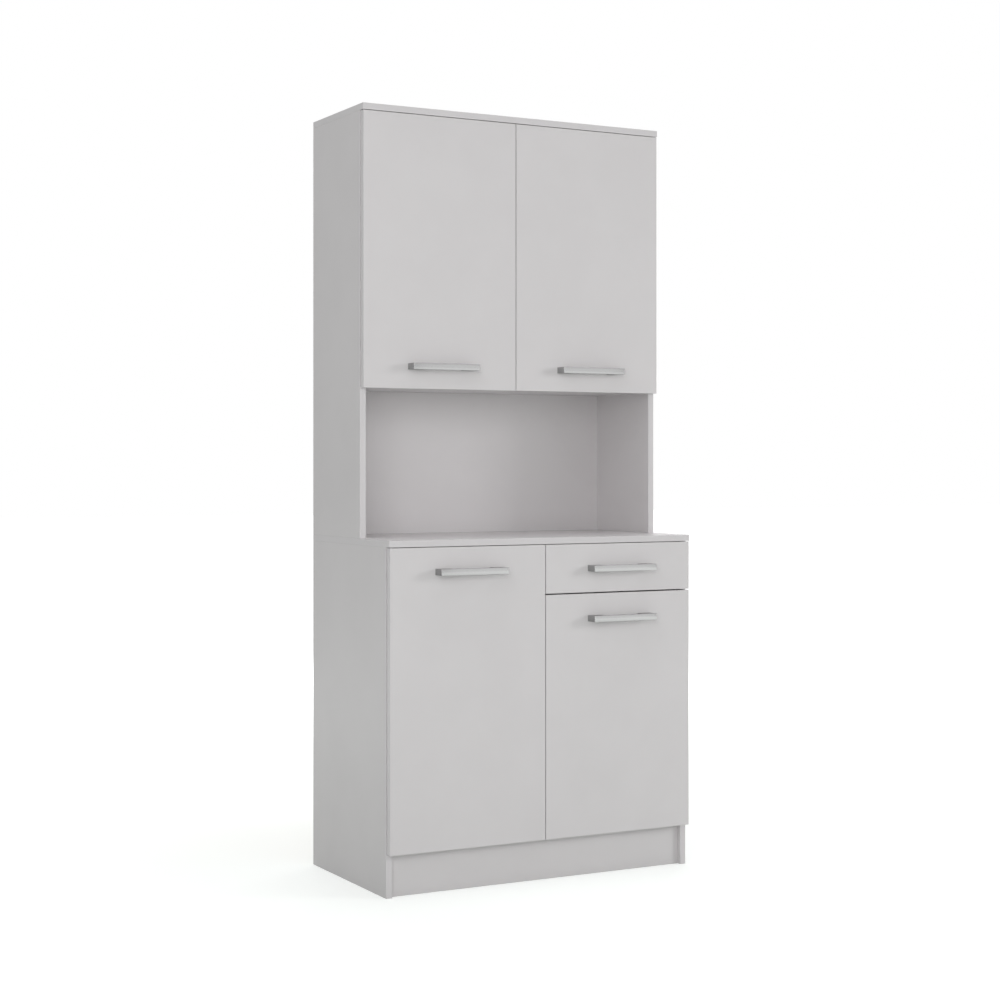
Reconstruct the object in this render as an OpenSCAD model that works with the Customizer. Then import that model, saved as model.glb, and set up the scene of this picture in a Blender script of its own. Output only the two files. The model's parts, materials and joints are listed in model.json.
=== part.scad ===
// Tall kitchen cabinet in melamine board, in millimetres. A lower unit with two doors
// and a drawer carries a shallower upper unit: an open niche with two doors over it.
// X runs to the right, Y to the wall and Z up. The origin is on the floor, in the
// middle of the overall width and depth. Depths ("d") are measured forward from the
// rear plane.

/* [Cabinet] */
// Overall width
cab_w = 800; // [700:10:1000]
// Overall height
cab_h = 1800; // [1700:10:2000]
// Thickness of the melamine boards
board_t = 15; // [15:1:18]
// Depth of the lower side panels
lower_d = 420; // [400:5:600]
// Depth of the upper side panels
upper_d = 277; // [250:1:360]
// Height of the worktop's upper face
worktop_h = 800; // [760:10:900]
// Clear height of the open niche
niche_h = 348.5; // [320:0.5:450]
// Height of the kick board
kick_h = 100; // [60:5:140]
// Setback of the kick board from the side panels' front edges
kick_setback = 12; // [5:1:60]
// Distance of the loose shelves' front edges behind the side panels' front edges
shelf_setback = 27; // [20:1:60]
// Side clearance of a loose shelf
shelf_gap = 1; // [0.5:0.5:2]
// Height of the shelf in the left lower compartment, over the bottom board
left_shelf_h = 330; // [200:5:400]
// Height of the shelf in the right lower compartment, over the bottom board
right_shelf_h = 275; // [200:5:350]
// Height of the upper shelf, over the upper bottom board
upper_shelf_h = 300; // [200:5:350]

/* [Back] */
// Thickness of the hardboard back
back_t = 3; // [3:0.5:4]
// Distance of the hardboard back from the rear plane
back_inset = 15; // [10:1:20]
// Depth of the grooves that hold the hardboard
groove_d = 6; // [5:0.5:8]
// Play of the hardboard in its groove, each way
groove_gap = 0.1; // [0.1:0.1:0.3]

/* [Doors and drawer front] */
// Thickness of the doors and the drawer front
front_t = 15; // [15:1:18]
// Gap between a closed front and the boards behind it
front_gap = 2; // [2:0.5:3]
// Gap between the left and the right fronts
mid_gap = 2; // [1.5:0.5:5]
// Gap between the drawer front and the door under it
drawer_gap = 3; // [2:0.5:5]
// Distance of the fronts from the cabinet's outer faces
edge_reveal = 1.5; // [1:0.5:3]
// Gap over the topmost fronts
top_gap = 1.5; // [1:0.5:5]
// How far the doors hang below the bottom boards
door_drop = 2; // [0:0.5:5]
// Height of the drawer front
drawer_front_h = 114; // [110:1:150]

/* [Handles] */
// Overall length of a handle
handle_len = 172; // [160:1:200]
// Height of a handle
handle_h = 14.5; // [12:0.5:20]
// How far a handle stands out from its front
handle_out = 33; // [26:1:36]
// Thickness of the grip bar
handle_bar_t = 9; // [7:0.5:11]
// Length of the leg at each end
handle_leg = 33; // [31:1:40]
// Radius of the finger gap's inner corners
handle_corner_r = 5; // [2:0.5:8]
// Distance between the two handle screws
handle_pitch = 128; // [128:1:140]
// Height of an upper handle over its door's lower edge
upper_handle_up = 51; // [40:1:100]
// Distance of the left lower handle below its door's upper edge
left_handle_down = 55.5; // [40:0.5:100]
// Distance of the right lower handle below its door's upper edge
right_handle_down = 58; // [40:0.5:100]

/* [Hinges] */
// Distance of each hinge from its door's end
hinge_end = 100; // [90:1:120]
// Radius of the bored hinge cup
cup_r = 17.3; // [17:0.1:17.5]
// Depth of the hinge cup
cup_depth = 11.5; // [11:0.1:12]
// Clearance of the cup in its bore, all round and behind
cup_gap = 0.2; // [0.1:0.1:0.3]
// Distance of the cup's bore from the door's outer edge
cup_edge = 4.5; // [4:0.5:5]
// Thickness of the cup's wall and rim
cup_wall = 1; // [0.8:0.1:1.2]
// Clearance between a swinging door's corner and the side panel
swing_gap = 0.45; // [0.3:0.05:0.6]
// Distance of the plate's screws behind the side panel's front edge
plate_setback = 37; // [37:1:42]
// Thickness of the mounting plate under the arm
plate_t = 3.5; // [3:0.5:4]
// Thickness of the hinge arm
arm_t = 7; // [6:0.5:8]
// Width of the hinge arm
arm_w = 14; // [12:1:15]

/* [Drawer] */
// Length of the runners and of the drawer box
runner_len = 350; // [300:50:350]
// Height of a runner
runner_h = 45; // [45:1:50]
// Thickness of a closed runner
runner_t = 12.7; // [12.7:0.1:13]
// Sheet thickness of the runners
runner_wall = 1.2; // [1:0.1:1.5]
// Thickness of the drawer box boards
box_t = 12; // [12:1:15]
// Height of the drawer box
box_h = 85; // [75:1:90]
// Height of the drawer box over the drawer front's lower edge
box_up = 14; // [12:1:18]
// Height of the drawer's bottom sheet over the box's lower edge
sheet_up = 10; // [8:1:14]

/* [Fastenings] */
// Radius of a cam lock
cam_r = 7.5; // [7:0.1:8]
// Depth of a cam lock
cam_depth = 12; // [11:0.1:12.5]
// Distance of a cam lock's centre from the board's end
cam_reach = 24; // [24:1:34]
// Radius of a cam bolt's shaft
bolt_r = 3.3; // [3:0.1:3.4]
// Radius of a dowel
dowel_r = 4; // [3:0.5:4]
// Length of a dowel
dowel_len = 30; // [25:1:35]
// How deep dowels and bolts go into the face of a board
face_depth = 11; // [9:0.5:12]
// Distance of the first cam lock from the end of a seam
seam_end = 45; // [40:1:60]
// Distance between a cam lock and the dowel beside it
seam_pitch = 32; // [25:1:40]
// Clearance of fastenings in their holes
hole_gap = 0.15; // [0.1:0.05:0.25]
// Radius of a wood screw's shaft
screw_r = 1.75; // [1.5:0.05:2]
// Length of a wood screw below its head
screw_len = 12; // [11:0.5:12]
// Radius of a handle screw's shaft
handle_screw_r = 2; // [1.5:0.5:2.5]
// Radius of a back nail
nail_r = 0.8; // [0.6:0.1:1]
// Length of a back nail
nail_len = 20; // [16:1:25]
// Number of back nails along a full-width board
nail_count = 5; // [3:1:8]
// Radius of a shelf pin
pin_r = 2.5; // [2:0.5:3]
// Distance between the pin holes of a row
pin_pitch = 32; // [32:1:50]
// Distance of the pin rows from a shelf's front and rear edges
pin_inset = 45; // [30:1:70]
// Radius of a door bumper
bumper_r = 3; // [2:0.5:3]

/* [Wall bracket] */
// Thickness of the bracket's sheet
bracket_t = 2; // [1.5:0.5:3]
// Width of a bracket
bracket_w = 24; // [20:1:30]
// Length of each leg
bracket_leg = 38; // [35:1:50]
// Radius of the hole for the wall screw
wall_hole_r = 2.75; // [2.5:0.25:3.5]
// Distance between the two wall screws
wall_hole_pitch = 600; // [400:10:620]

/* [Hidden] */
$fn = 48;

board_colour = [0.86, 0.855, 0.855];
hardboard_colour = [0.8, 0.79, 0.78];
steel_colour = [0.72, 0.73, 0.74];
handle_colour = [0.66, 0.66, 0.67];
plastic_colour = [0.92, 0.92, 0.9];
beech_colour = [0.8, 0.66, 0.47];

LEFT = -1;
RIGHT = 1;
SIDES = [LEFT, RIGHT];

// Widths
half_w = cab_w / 2;
inner_x = half_w - board_t;
half_board = board_t / 2;
front_x1 = half_w - edge_reveal;
front_x0 = mid_gap / 2;
front_mid_x = (front_x0 + front_x1) / 2;

// Depths
lower_face_d = lower_d + front_gap;
upper_face_d = upper_d + front_gap;
lower_front_d = lower_face_d + front_t;
upper_front_d = upper_face_d + front_t;
rear_y = (lower_front_d + handle_out) / 2;
slot_w = back_t + 2 * groove_gap;
inside_d = back_inset + slot_w;
kick_front_d = lower_d - kick_setback;
lower_shelf_d = lower_d - shelf_setback;
upper_shelf_d = upper_d - shelf_setback;
shelf_rear_d = inside_d + shelf_gap;

// Heights
worktop_z0 = worktop_h - board_t;
floor_z1 = kick_h + board_t;
upper_bottom_z0 = worktop_h + niche_h;
upper_bottom_z1 = upper_bottom_z0 + board_t;
top_z0 = cab_h - board_t;
left_shelf_z = floor_z1 + left_shelf_h;
right_shelf_z = floor_z1 + right_shelf_h;
upper_shelf_z = upper_bottom_z1 + upper_shelf_h;
upper_door_z0 = upper_bottom_z0 - door_drop;
upper_door_z1 = top_z0 - top_gap;
lower_door_z0 = kick_h - door_drop;
left_door_z1 = worktop_z0 - top_gap;
drawer_z0 = left_door_z1 - drawer_front_h;
right_door_z1 = drawer_z0 - drawer_gap;
upper_handle_z = upper_door_z0 + upper_handle_up;
left_handle_z = left_door_z1 - left_handle_down;
right_handle_z = right_door_z1 - right_handle_down;
drawer_handle_z = drawer_z0 + drawer_front_h / 2;

// Hinge geometry, in a frame at the closed door's outer rear edge: u runs inward from
// that edge and v to the rear. The door turns about an axis in its front face, set in
// so far that its outer rear corner passes the side panel's edge by swing_gap.
corner_r = front_t + front_gap - swing_gap;
hinge_in = sqrt(pow(corner_r, 2) - pow(front_t, 2));
wall_u = board_t - edge_reveal;
arm_u0 = wall_u + plate_t;
arm_u1 = arm_u0 + arm_t;
arm_mid_u = (arm_u0 + arm_u1) / 2;
cup_u = cup_edge + cup_gap + cup_r;
plate_v = front_gap + plate_setback;
plate_len = 48;
plate_rear = 20;
wing_t = 2;
wing_w = 11;
wing_screw = 16;
arm_end_v = plate_v + plate_rear;
nose_gap = 0.7;
nose_depth = 7;
link_gap = 0.5;
link_t = 5.5;
link_w = 12;
link_out = 10;
rim_t = 1.2;
rim_half_h = 26;
rim_half_w = 15;
upper_hinge_z = [upper_door_z0 + hinge_end, upper_door_z1 - hinge_end];
left_hinge_z = [lower_door_z0 + hinge_end, left_door_z1 - hinge_end];
right_hinge_z = [lower_door_z0 + hinge_end, right_door_z1 - hinge_end];

// Drawer box and runners
box_z0 = drawer_z0 + box_up;
box_z1 = box_z0 + box_h;
box_x0 = half_board + runner_t;
box_x1 = inner_x - runner_t;
box_d0 = lower_face_d - runner_len;
runner_d1 = lower_d - front_gap;
runner_d0 = runner_d1 - runner_len;
runner_z = box_z0 + box_h / 2;
sheet_z0 = box_z0 + sheet_up;
sheet_z1 = sheet_z0 + slot_w;
ball_gap = 4;
ball_play = 0.2;
nest_gap = 3;
member_lip = 0.3;
cage_len = 120;
runner_screw_in = 37;
runner_screw_ds = [runner_d0 + runner_screw_in, (runner_d0 + runner_d1) / 2, runner_d1 - runner_screw_in];

// Heads of the small fastenings
screw_head_r = 3.5;
screw_head_h = 1.5;
handle_head_r = 4;
handle_head_h = 2.6;
handle_bite = 10;
nail_head_r = 2;
nail_head_h = 0.8;

// Distance from the rear plane, as a Y coordinate
function y_at(d) = rear_y - d;

// Two fixing places on a seam: the distances from its ends
function seam_ends(a, b) = [a + seam_end, b - seam_end];
function seam_inner(a, b) = [a + seam_end + seam_pitch, b - seam_end - seam_pitch];

// A seam fitting is [place, turn]. The turn puts +X into the board that holds the cam
// lock and +Z out of the face that the lock is bored from.
function to_side(s, d, z, up) = [
    [s * inner_x, y_at(d), z],
    [up ? 0 : 180, 0, s == LEFT ? 0 : 180]
];
function to_side_rear(s, d, z) = [
    [s * inner_x, y_at(d), z],
    [s == LEFT ? -90 : 90, 0, s == LEFT ? 0 : 180]
];
function under(x, d, z, s) = [[x, y_at(d), z], [0, 90, s == LEFT ? 0 : 180]];
function over(x, d, z) = [[x, y_at(d), z], [0, -90, 0]];
function over_rear(x, d, z) = [[x, y_at(d), z], [0, -90, -90]];

floor_z = kick_h + half_board;
kick_mid_d = kick_front_d - half_board;
shelf_bottom_z = upper_bottom_z0 + half_board;
niche_back_d = inside_d + half_board;
kick_seam = [kick_h / 2];
niche_low_z = worktop_h + seam_end;
niche_high_z = upper_bottom_z0 - seam_end;
side_mid_x = inner_x + half_board;
niche_foot_x = inner_x - seam_end;

floor_cams = [for (s = SIDES, d = seam_ends(inside_d, lower_d)) to_side(s, d, floor_z, false)];
floor_dowels = [for (s = SIDES, d = seam_inner(inside_d, lower_d)) to_side(s, d, floor_z, false)];
kick_cams = [for (s = SIDES, z = kick_seam) to_side_rear(s, kick_mid_d, z)];
shelf_cams = [for (s = SIDES, d = seam_ends(inside_d, upper_d)) to_side(s, d, shelf_bottom_z, true)];
shelf_dowels = [
    for (s = SIDES, d = seam_inner(inside_d, upper_d)) to_side(s, d, shelf_bottom_z, true)
];
niche_cams = [for (s = SIDES, z = [niche_low_z, niche_high_z]) to_side_rear(s, niche_back_d, z)];
niche_foot_cams = [for (s = SIDES) over_rear(s * niche_foot_x, niche_back_d, worktop_h)];
top_cams = [for (s = SIDES, d = seam_ends(inside_d, upper_d)) under(s * side_mid_x, d, top_z0, s)];
top_dowels = [for (s = SIDES, d = seam_inner(inside_d, upper_d)) under(s * side_mid_x, d, top_z0, s)];
worktop_cams = [
    for (s = SIDES, d = seam_ends(inside_d, lower_d)) under(s * side_mid_x, d, worktop_z0, s)
];
divider_top_cams = [for (d = seam_ends(inside_d, lower_d)) under(0, d, worktop_z0, LEFT)];
divider_foot_cams = [for (d = seam_ends(inside_d, lower_d)) over(0, d, floor_z1)];
through_dowels = [
    for (s = SIDES, d = seam_inner(inside_d, upper_d)) [s * side_mid_x, y_at(d), worktop_h]
];
all_cams = concat(
    floor_cams, kick_cams, shelf_cams, niche_cams, niche_foot_cams, top_cams,
    worktop_cams, divider_top_cams, divider_foot_cams
);
all_dowels = concat(floor_dowels, shelf_dowels, top_dowels);

// Hinge places are [side, depth of the door's rear face, height]
left_hinges = [for (z = left_hinge_z) [LEFT, lower_face_d, z]];
right_hinges = [for (z = right_hinge_z) [RIGHT, lower_face_d, z]];
upper_left_hinges = [for (z = upper_hinge_z) [LEFT, upper_face_d, z]];
upper_right_hinges = [for (z = upper_hinge_z) [RIGHT, upper_face_d, z]];
all_hinges = concat(left_hinges, right_hinges, upper_left_hinges, upper_right_hinges);

// Shelf pins are [side, x of the wall, rear and front depth, height of the shelf]
left_walls = [[LEFT, -inner_x], [RIGHT, -half_board]];
right_walls = [[LEFT, half_board], [RIGHT, inner_x]];
full_walls = [[LEFT, -inner_x], [RIGHT, inner_x]];
function pin_ds(front_d) = [shelf_rear_d + pin_inset, front_d - pin_inset];
function pins(walls, front_d, z) = [for (w = walls, d = pin_ds(front_d)) [w[0], w[1], d, z]];
left_pins = pins(left_walls, lower_shelf_d, left_shelf_z);
right_pins = pins(right_walls, lower_shelf_d, right_shelf_z);
upper_pins = pins(full_walls, upper_shelf_d, upper_shelf_z);
all_pins = concat(left_pins, right_pins, upper_pins);
pin_tongue = 7;
pin_drop = 5;
pin_hole = 7;

// Back nails, as [x, z]: rows into the bottom boards and a column into the divider
function spread(a, b, n) = [for (i = [0:n - 1]) a + (b - a) * i / (n - 1)];
nail_end = 60;
row_xs = spread(-inner_x + nail_end, inner_x - nail_end, nail_count);
floor_nails = [for (x = row_xs) [x, floor_z]];
upper_nails = [for (x = row_xs) [x, shelf_bottom_z]];
divider_nails = [for (z = spread(floor_z1 + nail_end, worktop_z0 - nail_end, nail_count)) [0, z]];

// Wall brackets hang under the top panel, in front of the hardboard
bracket_ds = [inside_d, inside_d + bracket_leg];
bracket_screw_ds = [inside_d + bracket_leg * 0.45, inside_d + bracket_leg * 0.8];
wall_hole_z = top_z0 - bracket_leg * 0.66;
wall_clear_r = wall_hole_r + 1;

// Door bumpers, as [x, depth, z], on the boards' front edges
bumper_side = 40;
divider_bumper_x = (front_x0 + half_board) / 2;
bumper_places = concat(
    [for (s = SIDES) [s * bumper_side, upper_d, shelf_bottom_z]],
    [for (s = SIDES) [s * bumper_side, lower_d, floor_z]],
    [[-divider_bumper_x, lower_d, left_handle_z], [divider_bumper_x, lower_d, right_handle_z]],
    [[divider_bumper_x, lower_d, drawer_handle_z], [side_mid_x, lower_d, drawer_handle_z]]
);

// ---- Building blocks ----

// A board from x0 to x1, from depth d0 to d1 and from z0 to z1
module board(x0, x1, d0, d1, z0, z1) {
    translate([x0, y_at(d1), z0]) cube([x1 - x0, d1 - d0, z1 - z0]);
}

// A rod along Y from depth d0 forward to depth d1
module rod(x, z, d0, d1, r) {
    translate([x, y_at(d0), z]) rotate([90, 0, 0]) cylinder(h = d1 - d0, r = r);
}

module each_fitting(list) {
    for (f = list) translate(f[0]) rotate(f[1]) children();
}

// Holes for a cam lock and its bolt, in both boards
module cam_holes(list) {
    each_fitting(list) {
        translate([cam_reach, 0, half_board - cam_depth - hole_gap])
            cylinder(h = cam_depth + hole_gap + 1, r = cam_r + hole_gap);
        translate([-face_depth - hole_gap, 0, 0]) rotate([0, 90, 0])
            cylinder(h = face_depth + hole_gap + cam_reach, r = bolt_r + hole_gap);
    }
}

module cam_lock_body() {
    slot = bolt_r + 2 * hole_gap;
    cross_w = 1.6;
    cross_h = 1.5;
    translate([cam_reach, 0, 0]) difference() {
        translate([0, 0, half_board - cam_depth]) cylinder(h = cam_depth, r = cam_r);
        translate([-cam_r - 1, 0, 0]) rotate([0, 90, 0]) cylinder(h = cam_r + 1 + slot, r = slot);
        for (a = [0, 90]) rotate([0, 0, a])
            translate([-cam_r / 2, -cross_w / 2, half_board - cross_h])
                cube([cam_r, cross_w, cross_h + 1]);
    }
}

module cam_bolt_body() {
    neck_r = bolt_r - 1;
    head = 4;
    rotate([0, 90, 0]) {
        translate([0, 0, -face_depth]) cylinder(h = face_depth + cam_reach - cam_r, r = bolt_r);
        translate([0, 0, cam_reach - cam_r]) cylinder(h = cam_r - head / 2, r = neck_r);
        translate([0, 0, cam_reach - head / 2]) cylinder(h = head, r = bolt_r);
    }
}

module dowel_holes(list) {
    each_fitting(list) translate([-face_depth - hole_gap, 0, 0]) rotate([0, 90, 0])
        cylinder(h = dowel_len + 2 * hole_gap, r = dowel_r + hole_gap);
}

module through_dowel(gap) {
    depth = board_t + dowel_len / 2 + gap;
    for (p = through_dowels) translate([p[0], p[1], p[2] - depth])
        cylinder(h = depth + dowel_len / 2 + gap, r = dowel_r + gap);
}

// Groove for the hardboard, cut into a side panel's inner face
module back_groove(s, z0, z1) {
    x = s * inner_x;
    board(min(x, x + s * groove_d), max(x, x + s * groove_d), back_inset, inside_d, z0, z1);
}

module pin_holes(list) {
    for (p = list, row = [-1, 0, 1])
        translate([p[1], y_at(p[2]), p[3] - pin_r + row * pin_pitch])
            rotate([0, p[0] * 90, 0]) cylinder(h = pin_hole + hole_gap, r = pin_r + hole_gap);
}

module nail_holes(list) {
    for (n = list) rod(n[0], n[1], back_inset - 1, inside_d + nail_len, nail_r + hole_gap);
}

// A wood screw: its head stands on z = 0 and its shaft goes down
module wood_screw() {
    cylinder(h = screw_head_h, r = screw_head_r);
    translate([0, 0, -screw_len]) cylinder(h = screw_len + screw_head_h / 2, r = screw_r);
}

module screw_hole() {
    translate([0, 0, -screw_len - hole_gap]) cylinder(h = screw_len + 2 * hole_gap, r = screw_r + hole_gap);
}

module at_hinge(h) {
    translate([h[0] * front_x1, y_at(h[1]), h[2]]) {
        if (h[0] == RIGHT) mirror([1, 0, 0]) children();
        else children();
    }
}

module at_plate_screws(list) {
    for (h = list) at_hinge(h) for (z = [-wing_screw, wing_screw])
        translate([wall_u + wing_t, plate_v, z]) rotate([0, 90, 0]) children();
}

module plate_screw_holes(list) {
    at_plate_screws(list) screw_hole();
}

// The outer runners' screws: the left runner is on the divider, the right on the side
module at_runner_screws(s) {
    x = s == LEFT ? half_board + runner_wall : inner_x - runner_wall;
    for (d = runner_screw_ds) translate([x, y_at(d), runner_z]) rotate([0, -s * 90, 0]) children();
}

module at_inner_screws(s) {
    x = s == LEFT ? box_x0 - runner_wall : box_x1 + runner_wall;
    for (d = runner_screw_ds) translate([x, y_at(d), runner_z]) rotate([0, s * 90, 0]) children();
}

module at_bracket_screws() {
    for (s = SIDES, d = bracket_screw_ds)
        translate([s * wall_hole_pitch / 2, y_at(d), top_z0 - bracket_t]) rotate([180, 0, 0]) children();
}

// ---- Lower unit ----

module lower_side(s) {
    x0 = s == LEFT ? -half_w : inner_x;
    color(board_colour) difference() {
        board(x0, x0 + board_t, 0, lower_d, 0, worktop_z0);
        back_groove(s, kick_h, worktop_z0 + 1);
        cam_holes(concat(floor_cams, kick_cams, worktop_cams));
        dowel_holes(floor_dowels);
        through_dowel(hole_gap);
        pin_holes(s == LEFT ? left_pins : right_pins);
        plate_screw_holes(s == LEFT ? left_hinges : right_hinges);
        if (s == RIGHT) at_runner_screws(RIGHT) screw_hole();
    }
}

module lower_left_side() {
    lower_side(LEFT);
}

module lower_right_side() {
    lower_side(RIGHT);
}

module lower_divider() {
    color(board_colour) difference() {
        board(-half_board, half_board, inside_d, lower_d, floor_z1, worktop_z0);
        cam_holes(concat(divider_top_cams, divider_foot_cams));
        pin_holes(concat(left_pins, right_pins));
        at_runner_screws(LEFT) screw_hole();
        nail_holes(divider_nails);
    }
}

module lower_bottom() {
    color(board_colour) difference() {
        board(-inner_x, inner_x, inside_d, lower_d, kick_h, floor_z1);
        cam_holes(concat(floor_cams, divider_foot_cams));
        dowel_holes(floor_dowels);
        nail_holes(floor_nails);
    }
}

module kick_board() {
    color(board_colour) difference() {
        board(-inner_x, inner_x, kick_front_d - board_t, kick_front_d, 0, kick_h);
        cam_holes(kick_cams);
    }
}

module worktop() {
    color(board_colour) difference() {
        board(-half_w, half_w, 0, lower_front_d, worktop_z0, worktop_h);
        cam_holes(concat(worktop_cams, divider_top_cams, niche_foot_cams));
        through_dowel(hole_gap);
    }
}

// A hardboard sheet that runs in the side panels' grooves
module back_sheet(z0, z1) {
    reach = inner_x + groove_d - groove_gap;
    board(-reach, reach, back_inset + groove_gap, back_inset + groove_gap + back_t, z0, z1);
}

module lower_back() {
    color(hardboard_colour) difference() {
        back_sheet(kick_h, worktop_z0);
        nail_holes(concat(floor_nails, divider_nails));
    }
}

module left_shelf() {
    color(board_colour)
        board(-inner_x + shelf_gap, -half_board - shelf_gap, shelf_rear_d, lower_shelf_d,
            left_shelf_z, left_shelf_z + board_t);
}

module right_shelf() {
    color(board_colour)
        board(half_board + shelf_gap, inner_x - shelf_gap, shelf_rear_d, lower_shelf_d,
            right_shelf_z, right_shelf_z + board_t);
}

// ---- Upper unit ----

module upper_side(s) {
    x0 = s == LEFT ? -half_w : inner_x;
    color(board_colour) difference() {
        board(x0, x0 + board_t, 0, upper_d, worktop_h, top_z0);
        back_groove(s, worktop_h - 1, top_z0 + 1);
        cam_holes(concat(shelf_cams, niche_cams, top_cams));
        dowel_holes(concat(shelf_dowels, top_dowels));
        through_dowel(hole_gap);
        pin_holes(upper_pins);
        plate_screw_holes(s == LEFT ? upper_left_hinges : upper_right_hinges);
    }
}

module upper_left_side() {
    upper_side(LEFT);
}

module upper_right_side() {
    upper_side(RIGHT);
}

module upper_bottom() {
    color(board_colour) difference() {
        board(-inner_x, inner_x, inside_d, upper_d, upper_bottom_z0, upper_bottom_z1);
        cam_holes(shelf_cams);
        dowel_holes(shelf_dowels);
        nail_holes(upper_nails);
    }
}

module top_panel() {
    color(board_colour) difference() {
        board(-half_w, half_w, 0, upper_front_d, top_z0, cab_h);
        cam_holes(top_cams);
        dowel_holes(top_dowels);
        at_bracket_screws() screw_hole();
    }
}

module upper_shelf() {
    color(board_colour)
        board(-inner_x + shelf_gap, inner_x - shelf_gap, shelf_rear_d, upper_shelf_d,
            upper_shelf_z, upper_shelf_z + board_t);
}

module upper_back() {
    color(hardboard_colour) difference() {
        back_sheet(worktop_h, top_z0);
        nail_holes(upper_nails);
        for (s = SIDES) rod(s * wall_hole_pitch / 2, wall_hole_z, 0, inside_d + 1, wall_clear_r);
    }
}

module niche_back() {
    color(board_colour) difference() {
        board(-inner_x, inner_x, inside_d, inside_d + board_t, worktop_h, upper_bottom_z0);
        cam_holes(concat(niche_cams, niche_foot_cams));
    }
}

// ---- Fastenings and fittings ----

module shelf_pins() {
    color(steel_colour) for (p = all_pins)
        translate([p[1], y_at(p[2]), p[3]]) {
            translate([0, 0, -pin_r]) rotate([0, p[0] * 90, 0]) cylinder(h = pin_hole, r = pin_r);
            translate([p[0] == LEFT ? 0 : -pin_tongue, -pin_r, -pin_drop])
                cube([pin_tongue, 2 * pin_r, pin_drop]);
        }
}

module cam_locks() {
    color(steel_colour) each_fitting(all_cams) cam_lock_body();
}

module cam_bolts() {
    color(steel_colour) each_fitting(all_cams) cam_bolt_body();
}

module dowels() {
    color(beech_colour) {
        each_fitting(all_dowels) translate([-face_depth, 0, 0]) rotate([0, 90, 0])
            cylinder(h = dowel_len, r = dowel_r);
        through_dowel(0);
    }
}

module back_nails() {
    color(steel_colour) for (n = concat(floor_nails, divider_nails, upper_nails)) {
        seat_d = back_inset + groove_gap;
        rod(n[0], n[1], seat_d - nail_head_h, seat_d, nail_head_r);
        rod(n[0], n[1], seat_d - nail_head_h / 2, seat_d + nail_len, nail_r);
    }
}

module wood_screws() {
    color(steel_colour) {
        at_plate_screws(all_hinges) wood_screw();
        for (s = SIDES) at_runner_screws(s) wood_screw();
        at_bracket_screws() wood_screw();
    }
}

module wall_brackets() {
    color(steel_colour) difference() {
        for (s = SIDES) {
            x0 = s * wall_hole_pitch / 2 - bracket_w / 2;
            x1 = x0 + bracket_w;
            board(x0, x1, bracket_ds[0], bracket_ds[0] + bracket_t, top_z0 - bracket_leg, top_z0);
            board(x0, x1, bracket_ds[0], bracket_ds[1], top_z0 - bracket_t, top_z0);
        }
        at_bracket_screws() screw_hole();
        for (s = SIDES) rod(s * wall_hole_pitch / 2, wall_hole_z, 0, inside_d + bracket_leg, wall_hole_r);
    }
}

module door_bumpers() {
    color(plastic_colour) for (p = bumper_places) rod(p[0], p[2], p[1], p[1] + front_gap, bumper_r);
}

module hinge_plates() {
    color(steel_colour) for (h = all_hinges) at_hinge(h) difference() {
        union() {
            translate([wall_u, plate_v - wing_w / 2, -plate_len / 2]) cube([wing_t, wing_w, plate_len]);
            translate([wall_u, plate_v - plate_rear, -arm_w / 2]) cube([plate_t, 2 * plate_rear, arm_w]);
        }
        for (z = [-wing_screw, wing_screw]) translate([wall_u + wing_t, plate_v, z])
            rotate([0, 90, 0]) screw_hole();
    }
}

// The arm's nose keeps outside the circle that the door's corner sweeps
function nose_v(u) =
    max(-nose_depth, sqrt(max(0, pow(corner_r + nose_gap, 2) - pow(u - hinge_in, 2))) - front_t);

module hinge_arms() {
    slot_r = 2.2;
    color(steel_colour) for (h = all_hinges) at_hinge(h) difference() {
        translate([0, 0, -arm_w / 2]) linear_extrude(height = arm_w) polygon([
            [arm_u0, arm_end_v], [arm_u1, arm_end_v], [arm_u1, nose_v(arm_u1)],
            [arm_mid_u, nose_v(arm_mid_u)], [arm_u0, nose_v(arm_u0)]
        ]);
        for (v = [plate_v - plate_rear / 2, plate_v + plate_rear / 2])
            translate([arm_u0 - 1, v, 0]) rotate([0, 90, 0]) cylinder(h = arm_t + 2, r = slot_r);
    }
}

// ---- Drawer runners ----

// In a runner, w runs from the wall that carries it to the drawer
function runner_x(s, w) = (s == LEFT ? half_board : inner_x) - s * w;

// A channel between w0 and w1. Its web is at w0 if web_first, and else at w1.
module channel(s, w0, w1, half_h, web_first, d0, d1) {
    web_w = web_first ? [w0, w0 + runner_wall] : [w1 - runner_wall, w1];
    web = [runner_x(s, web_w[0]), runner_x(s, web_w[1])];
    span = [runner_x(s, w0), runner_x(s, w1)];
    board(min(web), max(web), d0, d1, runner_z - half_h, runner_z + half_h);
    for (z = [runner_z - half_h, runner_z + half_h - runner_wall])
        board(min(span), max(span), d0, d1, z, z + runner_wall);
}

outer_half = runner_h / 2;
middle_half = outer_half - runner_wall - ball_gap;
inner_half = middle_half - runner_wall - ball_gap;
outer_w1 = runner_t - runner_wall - nest_gap;
middle_w0 = runner_wall + nest_gap;
middle_w1 = runner_t - runner_wall - member_lip;
inner_w0 = middle_w0 + runner_wall + 1;

module runner_outer(s) {
    color(steel_colour) difference() {
        channel(s, 0, outer_w1, outer_half, true, runner_d0, runner_d1);
        at_runner_screws(s) screw_hole();
    }
}

module runner_middle(s) {
    color(steel_colour) channel(s, middle_w0, middle_w1, middle_half, true, runner_d0, runner_d1);
}

module runner_inner(s) {
    color(steel_colour) difference() {
        channel(s, inner_w0, runner_t, inner_half, false, runner_d0, runner_d1);
        at_inner_screws(s) screw_hole();
    }
}

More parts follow.
